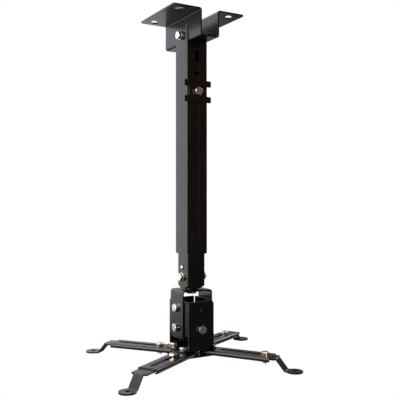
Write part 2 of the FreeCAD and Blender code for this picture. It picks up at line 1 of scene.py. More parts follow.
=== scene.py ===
"""Looks of a ceiling mount for a projector.

It has powder-coated sheet steel and zinc-plated fasteners, and stands in a white studio.

Sizes are given in millimetres and turned to metres by MM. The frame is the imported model: its origin is the
centre of the ceiling plane, +Z is up, and the slotted front of the mast faces -Y.
"""
import json
import logging
import math
from dataclasses import dataclass, field
from enum import Enum
from typing import Any, Callable, Dict, List, Optional, Sequence, Tuple

import bpy
from mathutils import Matrix, Vector

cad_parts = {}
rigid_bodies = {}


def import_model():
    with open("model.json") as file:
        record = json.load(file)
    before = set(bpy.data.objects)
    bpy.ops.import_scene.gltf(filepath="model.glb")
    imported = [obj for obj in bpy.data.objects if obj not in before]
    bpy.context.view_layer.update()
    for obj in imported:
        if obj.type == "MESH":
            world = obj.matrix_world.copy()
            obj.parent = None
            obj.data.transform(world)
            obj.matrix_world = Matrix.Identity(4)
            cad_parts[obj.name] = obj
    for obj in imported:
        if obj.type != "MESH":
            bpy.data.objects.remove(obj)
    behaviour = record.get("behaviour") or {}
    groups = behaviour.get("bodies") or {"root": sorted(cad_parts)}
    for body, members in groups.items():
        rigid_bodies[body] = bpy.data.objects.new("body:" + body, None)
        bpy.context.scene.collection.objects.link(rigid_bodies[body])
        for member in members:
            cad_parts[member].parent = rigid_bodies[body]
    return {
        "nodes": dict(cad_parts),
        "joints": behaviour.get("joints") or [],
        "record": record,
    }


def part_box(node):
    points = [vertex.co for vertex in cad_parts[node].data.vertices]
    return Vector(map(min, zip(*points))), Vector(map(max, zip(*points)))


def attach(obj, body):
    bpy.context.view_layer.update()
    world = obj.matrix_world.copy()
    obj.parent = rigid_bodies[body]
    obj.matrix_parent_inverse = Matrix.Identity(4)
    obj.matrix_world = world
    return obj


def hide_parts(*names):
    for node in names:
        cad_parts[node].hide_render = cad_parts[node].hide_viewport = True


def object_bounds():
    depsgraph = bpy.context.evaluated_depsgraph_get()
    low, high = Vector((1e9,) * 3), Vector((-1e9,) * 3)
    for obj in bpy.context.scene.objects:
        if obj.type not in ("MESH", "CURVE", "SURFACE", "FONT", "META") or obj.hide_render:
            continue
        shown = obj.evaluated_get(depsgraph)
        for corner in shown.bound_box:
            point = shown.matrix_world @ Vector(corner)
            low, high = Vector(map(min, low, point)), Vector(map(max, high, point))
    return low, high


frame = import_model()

MM: float = 0.001
CAD_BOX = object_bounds()
BODY_OF: Dict[str, str] = {
    node: body for body, nodes in frame["record"]["behaviour"]["bodies"].items() for node in nodes
}
JOINT: Dict[str, Dict[str, Any]] = {joint["name"]: joint for joint in frame["joints"]}
LOG = logging.getLogger("projector_mount")

Colour = Tuple[float, float, float, float]
Span = Tuple[float, float]
Triple = Tuple[float, float, float]

SRGB_KNEE: float = 0.04045
SRGB_SLOPE: float = 12.92
SRGB_SHIFT: float = 0.055
SRGB_POWER: float = 2.4

RIGHT: Triple = (1, 0, 0)
BACK: Triple = (0, 1, 0)
UP: Triple = (0, 0, 1)
SIDES: Tuple[int, int] = (-1, 1)


class Slot(Enum):
    """Material slots of the record that the pieces take their finish from."""

    BLACK_COAT = "black_coat"
    ZINC = "zinc"


def linear(hex_colour: str) -> Colour:
    """Turn an sRGB hex colour to a linear one.

    Args:
        hex_colour: six hex digits after a hash sign.

    Returns:
        Linear red, green and blue, with alpha 1.
    """
    levels = [int(hex_colour[i:i + 2], 16) / 255 for i in (1, 3, 5)]
    red, green, blue = [
        v / SRGB_SLOPE if v <= SRGB_KNEE else ((v + SRGB_SHIFT) / (1 + SRGB_SHIFT)) ** SRGB_POWER
        for v in levels]
    return red, green, blue, 1.0


def add_node(
    tree: bpy.types.NodeTree,
    kind: str,
    settings: Optional[Dict[str, Any]] = None,
    inputs: Optional[Dict[Any, Any]] = None,
) -> bpy.types.Node:
    """Add a shader node with its settings, values and links.

    Args:
        tree: node tree that gets the node.
        kind: Blender's name of the node's type.
        settings: properties of the node.
        inputs: values or output sockets for its inputs, by name or number.

    Returns:
        The new node.
    """
    node = tree.nodes.new(kind)
    for name, value in (settings or {}).items():
        setattr(node, name, value)
    for name, value in (inputs or {}).items():
        if isinstance(value, bpy.types.NodeSocket):
            tree.links.new(value, node.inputs[name])
        else:
            node.inputs[name].default_value = value
    return node


def set_ramp(node: bpy.types.Node, stops: Sequence[Tuple[float, Colour]]) -> None:
    """Give a colour ramp its two stops.

    Args:
        node: colour ramp node.
        stops: position and colour of the first and the last stop.
    """
    for element, (position, colour) in zip(node.color_ramp.elements, stops):
        element.position = position
        element.color = colour


def per_mm(size: float) -> float:
    """Find the texture scale that gives the cells of a pattern their size.

    Args:
        size: size of one cell in millimetres.

    Returns:
        The scale, in cells per metre.
    """
    return 1.0 / (size * MM)


@dataclass(frozen=True)
class PowderCoat:
    """Satin black powder coat, sprayed and baked on sheet steel.

    It gives the eye a deep neutral black with a soft sheen and the faint orange peel of the melted powder.
    """

    name: str = "satin_black_powder_coat"
    dark: str = "#040405"
    light: str = "#09080b"
    ior: float = 1.46
    smooth: float = 0.20
    rough: float = 0.30
    peel_mm: float = 1.6
    fleck_mm: float = 0.5
    cloud_mm: float = 35.0
    peel_depth_mm: float = 0.012
    fleck_depth_mm: float = 0.004
    cloud_detail: float = 4.0
    cloud_roughness: float = 0.6
    peel_detail: float = 2.0
    peel_roughness: float = 0.5
    tint_stops: Span = (0.35, 0.7)
    sheen_span: Span = (0.3, 0.7)
    peel_strength: float = 0.35
    fleck_strength: float = 0.25

    def material(self) -> bpy.types.Material:
        """Build the material.

        Returns:
            A material whose peel is drawn coarser than the real half millimetre, so that it shows.
        """
        material = bpy.data.materials.new(self.name)
        material.use_nodes = True
        tree = material.node_tree
        shader = tree.nodes["Principled BSDF"]
        place = add_node(tree, "ShaderNodeTexCoord").outputs["Object"]
        cloud = add_node(
            tree, "ShaderNodeTexNoise", None,
            {"Vector": place, "Scale": per_mm(self.cloud_mm), "Detail": self.cloud_detail,
             "Roughness": self.cloud_roughness})
        tint = add_node(tree, "ShaderNodeValToRGB", None, {"Fac": cloud.outputs["Fac"]})
        set_ramp(tint, tuple(zip(self.tint_stops, (linear(self.dark), linear(self.light)))))
        peel = add_node(
            tree, "ShaderNodeTexNoise", None,
            {"Vector": place, "Scale": per_mm(self.peel_mm), "Detail": self.peel_detail,
             "Roughness": self.peel_roughness})
        fleck = add_node(
            tree, "ShaderNodeTexVoronoi", None, {"Vector": place, "Scale": per_mm(self.fleck_mm)})
        sheen = add_node(
            tree, "ShaderNodeMapRange", None,
            {"Value": peel.outputs["Fac"], "From Min": self.sheen_span[0], "From Max": self.sheen_span[1],
             "To Min": self.smooth, "To Max": self.rough})
        grain = add_node(
            tree, "ShaderNodeBump", None,
            {"Height": fleck.outputs["Distance"], "Strength": self.fleck_strength,
             "Distance": self.fleck_depth_mm * MM})
        skin = add_node(
            tree, "ShaderNodeBump", None,
            {"Height": peel.outputs["Fac"], "Strength": self.peel_strength,
             "Distance": self.peel_depth_mm * MM, "Normal": grain.outputs["Normal"]})
        tree.links.new(tint.outputs["Color"], shader.inputs["Base Color"])
        tree.links.new(sheen.outputs["Result"], shader.inputs["Roughness"])
        tree.links.new(skin.outputs["Normal"], shader.inputs["Normal"])
        shader.inputs["IOR"].default_value = self.ior
        return material


@dataclass(frozen=True)
class ZincPlate:
    """Bright zinc plate with a pale yellow passivation, on cold-headed steel fasteners.

    It gives the eye a warm grey metal with blurred reflections, small tumbling marks and a faint yellow
    bloom.
    """

    name: str = "yellow_passivated_zinc"
    pale: str = "#efebe4"
    warm: str = "#dccdb0"
    bright: float = 0.16
    dull: float = 0.34
    bloom_mm: float = 3.0
    mark_mm: float = 0.35
    mark_depth_mm: float = 0.01
    bloom_detail: float = 3.0
    bloom_roughness: float = 0.55
    mark_detail: float = 2.0
    mark_roughness: float = 0.6
    tint_stops: Span = (0.38, 0.72)
    sheen_span: Span = (0.3, 0.7)
    mark_strength: float = 0.35

    def material(self) -> bpy.types.Material:
        """Build the material.

        Returns:
            A metal whose tint and sheen change with the bloom.
        """
        material = bpy.data.materials.new(self.name)
        material.use_nodes = True
        tree = material.node_tree
        shader = tree.nodes["Principled BSDF"]
        place = add_node(tree, "ShaderNodeTexCoord").outputs["Object"]
        bloom = add_node(
            tree, "ShaderNodeTexNoise", None,
            {"Vector": place, "Scale": per_mm(self.bloom_mm), "Detail": self.bloom_detail,
             "Roughness": self.bloom_roughness})
        tint = add_node(tree, "ShaderNodeValToRGB", None, {"Fac": bloom.outputs["Fac"]})
        set_ramp(tint, tuple(zip(self.tint_stops, (linear(self.pale), linear(self.warm)))))
        marks = add_node(
            tree, "ShaderNodeTexNoise", None,
            {"Vector": place, "Scale": per_mm(self.mark_mm), "Detail": self.mark_detail,
             "Roughness": self.mark_roughness})
        sheen = add_node(
            tree, "ShaderNodeMapRange", None,
            {"Value": bloom.outputs["Fac"], "From Min": self.sheen_span[0], "From Max": self.sheen_span[1],
             "To Min": self.bright, "To Max": self.dull})
        skin = add_node(
            tree, "ShaderNodeBump", None,
            {"Height": marks.outputs["Fac"], "Strength": self.mark_strength,
             "Distance": self.mark_depth_mm * MM})
        tree.links.new(tint.outputs["Color"], shader.inputs["Base Color"])
        tree.links.new(sheen.outputs["Result"], shader.inputs["Roughness"])
        tree.links.new(skin.outputs["Normal"], shader.inputs["Normal"])
        shader.inputs["Metallic"].default_value = 1.0
        return material


def deselect_all() -> None:
    """Deselect every object."""
    for item in bpy.context.view_layer.objects:
        item.select_set(False)


def make_active(item: bpy.types.Object) -> None:
    """Select one object alone and make it the active one.

    Args:
        item: object to select.
    """
    deselect_all()
    item.select_set(True)
    bpy.context.view_layer.objects.active = item


def in_edit_mode(item: bpy.types.Object, work: Callable[[], None]) -> None:
    """Run a piece of work on one object in edit mode.

    Args:
        item: object that is edited.
        work: what is done to it.
    """
    make_active(item)
    bpy.ops.object.mode_set(mode="EDIT")
    work()
    bpy.ops.object.mode_set(mode="OBJECT")


def apply_modifier(item: bpy.types.Object, kind: str, **settings: Any) -> None:
    """Add a modifier to an object and apply it.

    Args:
        item: object that is changed.
        kind: Blender's name of the modifier.
        settings: the modifier's properties.
    """
    make_active(item)
    modifier = item.modifiers.new(kind.lower(), kind)
    for name, value in settings.items():
        setattr(modifier, name, value)
    bpy.ops.object.modifier_apply(modifier=modifier.name)


def bevel_edges(item: bpy.types.Object, width_mm: float, segments: int, angle_deg: float) -> None:
    """Round the sharp edges of an object.

    Args:
        item: object that is changed.
        width_mm: width of the round.
        segments: faces across the round.
        angle_deg: edges flatter than this stay as they are.
    """
    apply_modifier(
        item, "BEVEL", width=width_mm * MM, segments=segments, limit_method="ANGLE",
        angle_limit=math.radians(angle_deg), use_clamp_overlap=True, miter_outer="MITER_ARC")


def shade(item: bpy.types.Object, angle_deg: float = 35.0) -> None:
    """Smooth the shading over all but the sharp edges.

    Args:
        item: object that is shaded.
        angle_deg: edges sharper than this stay sharp.
    """
    make_active(item)
    bpy.ops.object.shade_smooth_by_angle(angle=math.radians(angle_deg))


def flatten(item: bpy.types.Object, weight: int = 100) -> None:
    """Let large flat faces keep flat normals, so that only the rounded edges turn the light.

    Args:
        item: object that is changed.
        weight: how much more the larger faces count.
    """
    apply_modifier(item, "WEIGHTED_NORMAL", mode="FACE_AREA", weight=weight, keep_sharp=True)


def move_mesh(item: bpy.types.Object, matrix: Matrix) -> None:
    """Put a place into an object's mesh, so that the object stays at the origin.

    Args:
        item: object that is moved.
        matrix: the place.
    """
    item.data.transform(matrix)
    item.matrix_world = Matrix.Identity(4)


def join(items: List[bpy.types.Object], name: str) -> bpy.types.Object:
    """Join objects to one.

    Args:
        items: objects to join.
        name: name of the result.

    Returns:
        The joined object.
    """
    make_active(items[0])
    for item in items[1:]:
        item.select_set(True)
    if len(items) > 1:
        bpy.ops.object.join()
    items[0].name = name
    items[0].data.name = name
    return items[0]


def copy_of(item: bpy.types.Object) -> bpy.types.Object:
    """Copy an object with a mesh of its own.

    Args:
        item: object to copy.

    Returns:
        The copy.
    """
    twin = item.copy()
    twin.data = item.data.copy()
    bpy.context.scene.collection.objects.link(twin)
    return twin


def facing(point: Vector, axis: Vector, spin_deg: float = 0.0) -> Matrix:
    """Give the place of a fastener that was modelled along +Z.

    Args:
        point: where its seat goes.
        axis: where its head or crown points.
        spin_deg: turn about its own axis.

    Returns:
        The matrix that takes it there.
    """
    turn = axis.to_track_quat("Z", "Y").to_matrix().to_4x4()
    return Matrix.Translation(point) @ turn @ Matrix.Rotation(math.radians(spin_deg), 4, "Z")


def discard(*items: bpy.types.Object) -> None:
    """Delete objects that only helped to make others.

    Args:
        items: objects to delete.
    """
    for item in items:
        bpy.data.objects.remove(item)


def settle(piece: bpy.types.Object, node: str, material: bpy.types.Material) -> None:
    """Let a finished piece stand for a CAD node.

    Args:
        piece: the piece, in place.
        node: CAD node that it stands for.
        material: its finish.
    """
    piece.data.materials.clear()
    piece.data.materials.append(material)
    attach(piece, BODY_OF[node])
    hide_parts(node)
    LOG.info("%s stands for %s on %s", piece.name, node, BODY_OF[node])


@dataclass
class FoldedSheets:
    """Tubes and sheets: copies of the CAD solids with the soft edges that the coat gives them."""

    finish: bpy.types.Material
    edge_mm: float = 0.35
    edge_segments: int = 2
    edge_angle: float = 40.0
    weld_mm: float = 0.002
    flat_angle: float = 0.5
    nodes: Sequence[str] = (
        "ceiling_bracket", "outer_tube", "inner_tube", "lock_plate", "neck_insert",
        "yoke", "tilt_box", "cradle", "base_plate",
        "arm_left", "arm_front_left", "arm_right", "arm_back_right",
        "foot_strap_left", "foot_strap_front_left", "foot_strap_right", "foot_strap_back_right",
    )

    def soften(self, node: str) -> bpy.types.Object:
        """Copy a solid, merge its triangles and round its edges.

        Args:
            node: CAD node to copy.

        Returns:
            The new piece.
        """
        piece = copy_of(frame["nodes"][node])
        piece.parent = None
        for key in list(piece.keys()):
            del piece[key]
        piece.name = "coated_" + node
        piece.data.name = piece.name

        def merge() -> None:
            bpy.ops.mesh.select_all(action="SELECT")
            bpy.ops.mesh.remove_doubles(threshold=self.weld_mm * MM)
            bpy.ops.mesh.dissolve_limited(angle_limit=math.radians(self.flat_angle))

        in_edit_mode(piece, merge)
        bevel_edges(piece, self.edge_mm, self.edge_segments, self.edge_angle)
        shade(piece)
        flatten(piece)
        return piece

    def build(self) -> None:
        """Make every sheet and tube."""
        for node in self.nodes:
            settle(self.soften(node), node, self.finish)


@dataclass
class Thread:
    """Sizes of a metric fastener: its thread, head and nut, in millimetres."""

    shank: float
    pitch: float
    across: float
    head: float
    nut: float
    washer: float
    washer_thick: float = 1.6
    depth_share: float = 0.55
    rows_per_turn: int = 4
    sides: int = 24
    edge: float = 0.22
    face_ring: float = 0.35

    @property
    def corner(self) -> float:
        """Radius of the hexagon's corners."""
        return self.across / math.sqrt(3)


@dataclass
class Fasteners:
    """Hexagon bolts, nuts, washers and rivets.

    Nuts and washers are modelled once for each size and copied to their places. Lengths are in millimetres
    and angles in degrees. Spins turn the hexagons, as hand-tightened fasteners all stand differently.
    """

    finish: bpy.types.Material
    coat: bpy.types.Material
    small: Thread = field(default_factory=lambda: Thread(3.0, 1.0, 10.0, 4.0, 5.0, 6.0))
    large: Thread = field(default_factory=lambda: Thread(4.0, 1.25, 13.0, 5.3, 4.0, 8.5))
    thread_run: float = 18.0
    bore_gap: float = 0.1
    chamfer_angle: float = 28.0
    crown_sides: int = 64
    bevel_segments: int = 2
    bevel_angle: float = 25.0
    head_shade_angle: float = 35.0
    thread_shade_angle: float = 60.0
    crown_share: float = 0.97
    rim_share: float = 0.99
    level_normal: float = 0.9
    near: float = 0.1
    thread_start: float = 1e-4
    bore_sides: int = 48
    bore_over: int = 3
    washer_gap: float = 0.25
    rivet_segments: int = 40
    rivet_rings: int = 24
    rivet_rim: float = 0.4
    rivet_tail: float = 1.4
    insert_sheet: float = 2.5
    bolt_tail: float = 2.0
    mast_spins: Dict[str, float] = field(default_factory=lambda: {"bracket": 12.0, "neck": 40.0})
    lock_spin: float = 15.0
    swivel_spin: float = 20.0
    pitch_lock_spin: float = 25.0
    roll_spin: float = 10.0
    pitch_nut_spin: float = 9.0
    roll_nut_spin: float = 17.0
    pivot_spin_step: float = 14.0
    pivot_nut_spin_step: float = 21.0
    clamp_spin: float = 11.0
    clamp_spin_step: float = 19.0
    clamp_nut_spin_step: float = 13.0

    def hexagon(self, size: Thread, height: float, both_ends: bool) -> bpy.types.Object:
        """Model a hexagon that stands on z = 0, with its corners turned down to a round face.

        Args:
            size: the fastener's sizes.
            height: height of the hexagon.
            both_ends: whether its lower face is turned down too.

        Returns:
            The hexagon.
        """
        bpy.ops.mesh.primitive_cylinder_add(
            vertices=6, radius=size.corner * MM, depth=height * MM, location=(0, 0, height * MM / 2))
        prism = bpy.context.object
        bpy.ops.mesh.primitive_cylinder_add(
            vertices=self.crown_sides, radius=(size.corner + size.face_ring) * MM, depth=height * MM,
            location=(0, 0, height * MM / 2))
        crown = bpy.context.object
        ring = size.corner + size.face_ring - size.across / 2 * self.crown_share
        drop = ring * math.tan(math.radians(self.chamfer_angle))
        ends = (height, 0.0) if both_ends else (height,)

        def turn_down() -> None:
            for end in ends:
                bpy.ops.mesh.select_all(action="DESELECT")
                bpy.ops.object.mode_set(mode="OBJECT")
                for face in crown.data.polygons:
                    middle = (crown.matrix_world @ face.center).z
                    level = abs(face.normal.z) > self.level_normal
                    face.select = level and abs(middle - end * MM) < self.near * MM
                bpy.ops.object.mode_set(mode="EDIT")
                bpy.ops.mesh.inset(thickness=ring * MM)
                away = -drop if end else drop
                bpy.ops.mesh.select_all(action="DESELECT")
                bpy.ops.object.mode_set(mode="OBJECT")
                rim = (size.corner + size.face_ring) * MM
                for vertex in crown.data.vertices:
                    place = crown.matrix_world @ vertex.co
                    on_rim = math.hypot(place.x, place.y) > rim * self.rim_share
                    vertex.select = on_rim and abs(place.z - end * MM) < self.near * MM
                bpy.ops.object.mode_set(mode="EDIT")
                bpy.ops.mesh.select_mode(type="VERT")
                bpy.ops.transform.translate(value=(0, 0, away * MM))
                bpy.ops.mesh.select_mode(type="FACE")

        bpy.context.tool_settings.mesh_select_mode = (False, False, True)
        in_edit_mode(crown, turn_down)
        apply_modifier(prism, "BOOLEAN", operation="INTERSECT", object=crown, solver="EXACT")
        discard(crown)
        make_active(prism)
        bpy.ops.object.transform_apply(location=True, rotation=True, scale=True)
        return prism

    def threaded_rod(self, size: Thread, length: float, thread: float) -> bpy.types.Object:
        """Model a rod down from z = 0 whose lower stretch carries a screw thread.

        Args:
            size: the fastener's sizes.
            length: length of the rod.
            thread: length of the stretch with a thread.

        Returns:
            The rod.
        """
        bpy.ops.mesh.primitive_circle_add(
            vertices=size.sides, radius=size.shank * MM, fill_type="NGON", location=(0, 0, 0))
        rod = bpy.context.object
        plain = max(length - thread, 0.0)
        step = size.pitch / size.rows_per_turn
        rows = max(2, round((length - plain) / step))
        drops = ([plain] if plain else []) + [(length - plain) / rows] * rows

        def grow() -> None:
            bpy.ops.mesh.select_all(action="SELECT")
            for drop in drops:
                bpy.ops.mesh.extrude_region_move(TRANSFORM_OT_translate={"value": (0, 0, -drop * MM)})

        in_edit_mode(rod, grow)
        depth = size.depth_share * size.pitch
        for vertex in rod.data.vertices:
            low = -vertex.co.z / MM
            if low < plain + self.thread_start:
                continue
            turn = math.atan2(vertex.co.y, vertex.co.x) / (2 * math.pi)
            wave = abs(((low / size.pitch + turn) % 1.0) - 0.5) * 2
            ease = min(1.0, (low - plain) / size.pitch)
            taper = max(0.0, 1.0 - (length - low) / size.pitch)
            radius = size.shank - depth * max(wave * ease, taper)
            share = radius * MM / math.hypot(vertex.co.x, vertex.co.y)
            vertex.co.x *= share
            vertex.co.y *= share

        def close() -> None:
            bpy.ops.mesh.select_all(action="SELECT")
            bpy.ops.mesh.normals_make_consistent(inside=False)

        in_edit_mode(rod, close)
        return rod

    def bolt(self, size: Thread, length: float) -> bpy.types.Object:
        """Model a hexagon bolt: its head stands on z = 0 and its shank goes down.

        Args:
            size: the fastener's sizes.
            length: length of the shank.

        Returns:
            The bolt.
        """
        head = self.hexagon(size, size.head, False)
        bevel_edges(head, size.edge, self.bevel_segments, self.bevel_angle)
        shade(head, self.head_shade_angle)
        rod = self.threaded_rod(size, length, min(self.thread_run, length))
        shade(rod, self.thread_shade_angle)
        return join([head, rod], "bolt")

    def nut(self, size: Thread) -> bpy.types.Object:
        """Model a hexagon nut that stands on z = 0.

        Args:
            size: the fastener's sizes.

        Returns:
            The nut.
        """
        body = self.hexagon(size, size.nut, True)
        bpy.ops.mesh.primitive_cylinder_add(
            vertices=self.bore_sides, radius=(size.shank + self.bore_gap) * MM,
            depth=self.bore_over * size.nut * MM, location=(0, 0, size.nut * MM / 2))
        bore = bpy.context.object
        apply_modifier(body, "BOOLEAN", operation="DIFFERENCE", object=bore, solver="EXACT")
        discard(bore)
        bevel_edges(body, size.edge, self.bevel_segments, self.bevel_angle)
        shade(body, self.head_shade_angle)
        return body

    def washer(self, size: Thread) -> bpy.types.Object:
        """Model a flat washer that stands on z = 0, with a rounded rim from stamping.

        Args:
            size: the fastener's sizes.

        Returns:
            The washer.
        """
        thick = size.washer_thick
        bpy.ops.mesh.primitive_cylinder_add(
            vertices=self.crown_sides, radius=size.washer * MM, depth=thick * MM,
            location=(0, 0, thick * MM / 2))
        disc = bpy.context.object
        bpy.ops.mesh.primitive_cylinder_add(
            vertices=self.crown_sides, radius=(size.shank + self.washer_gap) * MM,
            depth=self.bore_over * thick * MM, location=(0, 0, thick * MM / 2))
        bore = bpy.context.object
        apply_modifier(disc, "BOOLEAN", operation="DIFFERENCE", object=bore, solver="EXACT")
        discard(bore)
        make_active(disc)
        bpy.ops.object.transform_apply(location=True, rotation=True, scale=True)
        bevel_edges(disc, size.edge, self.bevel_segments, self.bevel_angle)
        shade(disc)
        return disc

    def rivet(self, radius: float, height: float, rim: float) -> bpy.types.Object:
        """Model a domed rivet head that stands on z = 0.

        Args:
            radius: radius of the head.
            height: height of the dome.
            rim: height of the upright rim under the dome.

        Returns:
            The rivet head.
        """
        bpy.ops.mesh.primitive_uv_sphere_add(
            segments=self.rivet_segments, ring_count=self.rivet_rings, radius=radius * MM)
        dome = bpy.context.object

        def cut() -> None:
            bpy.ops.mesh.select_all(action="SELECT")
            bpy.ops.mesh.bisect(
                plane_co=(0, 0, 0), plane_no=UP, clear_inner=True, clear_outer=False, use_fill=False)
            bpy.ops.mesh.select_all(action="SELECT")
            bpy.ops.transform.resize(value=(1, 1, (height - rim) / radius))
            bpy.ops.transform.translate(value=(0, 0, rim * MM))
            bpy.ops.mesh.select_all(action="DESELECT")
            bpy.ops.mesh.select_non_manifold()
            bpy.ops.mesh.extrude_region_move(TRANSFORM_OT_translate={"value": (0, 0, -rim * MM)})
            bpy.ops.mesh.edge_face_add()
            bpy.ops.mesh.select_all(action="SELECT")
            bpy.ops.mesh.normals_make_consistent(inside=False)

        bpy.context.tool_settings.mesh_select_mode = (True, False, False)
        in_edit_mode(dome, cut)
        shade(dome)
        return dome

    def stand_for(
        self, node: str, master: bpy.types.Object, places: Sequence[Matrix], slot: Slot = Slot.ZINC
    ) -> None:
        """Copy a master to its places and let the copies stand for a CAD node.

        Args:
            node: CAD node of the fasteners.
            master: the modelled fastener, which stays for other nodes.
            places: where the copies go.
            slot: material slot that gives the finish.
        """
        copies = []
        for place in places:
            twin = copy_of(master)
            move_mesh(twin, place)
            copies.append(twin)
        if slot is Slot.ZINC:
            settle(join(copies, "zinc_" + node), node, self.finish)
        else:
            settle(join(copies, "coated_" + node), node, self.coat)

    def build(self) -> None:
        """Make every fastener."""
        nut = self.nut(self.small)
        self.build_mast(nut)
        self.build_lock(nut)
        self.build_swivel(self.large)
        self.build_tilts(nut)
        self.build_arms(nut)
        self.build_rivets()
        discard(nut)

    def build_mast(self, nut: bpy.types.Object) -> None:
        """Make the bolts through the bracket and the neck, with their washers and nuts.

        Args:
            nut: the small nut to copy.
        """
        across = Vector(RIGHT)
        thick = self.small.washer_thick * MM
        washer = self.washer(self.small)
        for name, spin in self.mast_spins.items():
            low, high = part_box(name + "_bolt")
            middle = (low + high) / 2
            seat = low.x + self.small.head * MM
            bolt = self.bolt(self.small, (high.x - seat) / MM)
            self.stand_for(name + "_bolt", bolt, [
                facing(Vector((seat, middle.y, middle.z)), -across, spin)])
            discard(bolt)
            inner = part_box(name + "_nut")[0].x
            self.stand_for(name + "_nut", nut, [
                facing(Vector((inner, middle.y, middle.z)), across, 2 * spin)])
            low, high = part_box(name + "_washers")
            self.stand_for(name + "_washers", washer, [
                facing(Vector((low.x + thick, middle.y, middle.z)), -across),
                facing(Vector((high.x - thick, middle.y, middle.z)), across)])
        discard(washer)

    def build_lock(self, nut: bpy.types.Object) -> None:
        """Make the lock bolt on the front of the mast and its nut.

        Args:
            nut: the small nut to copy.
        """
        front = -Vector(BACK)
        low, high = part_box("lock_bolt")
        middle = (low + high) / 2
        seat = low.y + self.small.head * MM
        bolt = self.bolt(self.small, (high.y - seat) / MM)
        self.stand_for("lock_bolt", bolt, [
            facing(Vector((middle.x, seat, middle.z)), front, self.lock_spin)])
        discard(bolt)
        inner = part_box("lock_nut")[0].y
        self.stand_for("lock_nut", nut, [facing(Vector((middle.x, inner, middle.z)), -front)])

    def build_swivel(self, size: Thread) -> None:
        """Make the swivel bolt, its washer and its nut.

        Args:
            size: the large fastener's sizes.
        """
        up = Vector(UP)
        low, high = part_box("swivel_bolt")
        seat = high.z - size.head * MM
        bolt = self.bolt(size, (seat - low.z) / MM)
        washer = self.washer(size)
        nut = self.nut(size)
        self.stand_for("swivel_bolt", bolt, [facing(Vector((0, 0, seat)), up)])
        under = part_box("swivel_washer")[0].z
        self.stand_for("swivel_washer", washer, [facing(Vector((0, 0, under)), up)], Slot.BLACK_COAT)
        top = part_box("swivel_nut")[1].z
        self.stand_for("swivel_nut", nut, [facing(Vector((0, 0, top)), -up, self.swivel_spin)])
        discard(bolt, washer, nut)

    def build_tilts(self, nut: bpy.types.Object) -> None:
        """Make the bolts and nuts of the pitch and roll pivots.

        Args:
            nut: the small nut to copy.
        """
        head = self.small.head * MM
        pitch_z = JOINT["pitch"]["pos_m"][2]
        roll_z = JOINT["roll"]["pos_m"][2]
        rows = (
            ("pitch_pivot_bolts", Vector(RIGHT), pitch_z, 0.0),
            ("pitch_lock_bolts", Vector(RIGHT), roll_z, self.pitch_lock_spin),
            ("roll_pivot_bolts", Vector(BACK), roll_z, self.roll_spin),
        )
        inner_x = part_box("pitch_nuts")[1].x
        inner_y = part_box("roll_nuts")[1].y
        for node, axis, height, spin in rows:
            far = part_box(node)[1].dot(axis)
            inner = inner_x if axis.x else inner_y
            reach = far - head
            bolt = self.bolt(self.small, (reach - inner) / MM + self.small.nut + self.bolt_tail)
            self.stand_for(node, bolt, [
                facing(axis * (sign * reach) + Vector((0, 0, height)), axis * sign, spin * sign)
                for sign in SIDES])
            discard(bolt)
        self.stand_for("pitch_nuts", nut, [
            facing(Vector((sign * inner_x, 0, height)), Vector((-sign, 0, 0)), self.pitch_nut_spin)
            for height in (pitch_z, roll_z) for sign in SIDES])
        self.stand_for("roll_nuts", nut, [
            facing(Vector((0, sign * inner_y, roll_z)), Vector((0, -sign, 0)), self.roll_nut_spin)
            for sign in SIDES])

    def build_arms(self, nut: bpy.types.Object) -> None:
        """Make the pivot and clamp bolts of the arms and their nuts.

        Args:
            nut: the small nut to copy.
        """
        up = Vector(UP)
        head = self.small.head * MM
        pivots = [Vector(joint["pos_m"]) for name, joint in JOINT.items() if name.startswith("swing_")]
        low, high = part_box("arm_pivot_bolts")
        seat = high.z - head
        bolt = self.bolt(self.small, (seat - low.z) / MM)
        self.stand_for("arm_pivot_bolts", bolt, [
            facing(Vector((spot.x, spot.y, seat)), up, self.pivot_spin_step * number)
            for number, spot in enumerate(pivots)])
        discard(bolt)
        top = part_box("arm_pivot_nuts")[1].z
        self.stand_for("arm_pivot_nuts", nut, [
            facing(Vector((spot.x, spot.y, top)), -up, self.pivot_nut_spin_step * number)
            for number, spot in enumerate(pivots)])
        for number, side in enumerate(("left", "front_left", "right", "back_right")):
            low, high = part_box("clamp_bolt_" + side)
            middle = (low + high) / 2
            seat = high.z - head
            clamp = self.bolt(self.small, (seat - low.z) / MM)
            spin = self.clamp_spin + self.clamp_spin_step * number
            self.stand_for("clamp_bolt_" + side, clamp, [
                facing(Vector((middle.x, middle.y, seat)), up, spin)])
            discard(clamp)
            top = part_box("clamp_nut_" + side)[1].z
            self.stand_for("clamp_nut_" + side, nut, [
                facing(Vector((middle.x, middle.y, top)), -up, self.clamp_nut_spin_step * number)])

    def build_rivets(self) -> None:
        """Make the two domed rivets of the neck, heads outwards and tails inside."""
        low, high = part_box("neck_rivets")
        middle = (low + high) / 2
        radius = (high.z - low.z) / 2 / MM
        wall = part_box("inner_tube")[1].x
        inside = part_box("neck_insert")[1].x
        head = self.rivet(radius, (high.x - wall) / MM, self.rivet_rim)
        tail = self.rivet(radius, self.rivet_tail, self.rivet_rim)
        ends = []
        for sign in SIDES:
            outward = Vector((sign, 0, 0))
            first = copy_of(head)
            move_mesh(first, facing(Vector((sign * wall, 0, middle.z)), outward))
            second = copy_of(tail)
            seat = sign * (inside - self.insert_sheet * MM)
            move_mesh(second, facing(Vector((seat, 0, middle.z)), -outward))
            ends += [first, second]
        settle(join(ends, "zinc_neck_rivets"), "neck_rivets", self.finish)
        discard(head, tail)


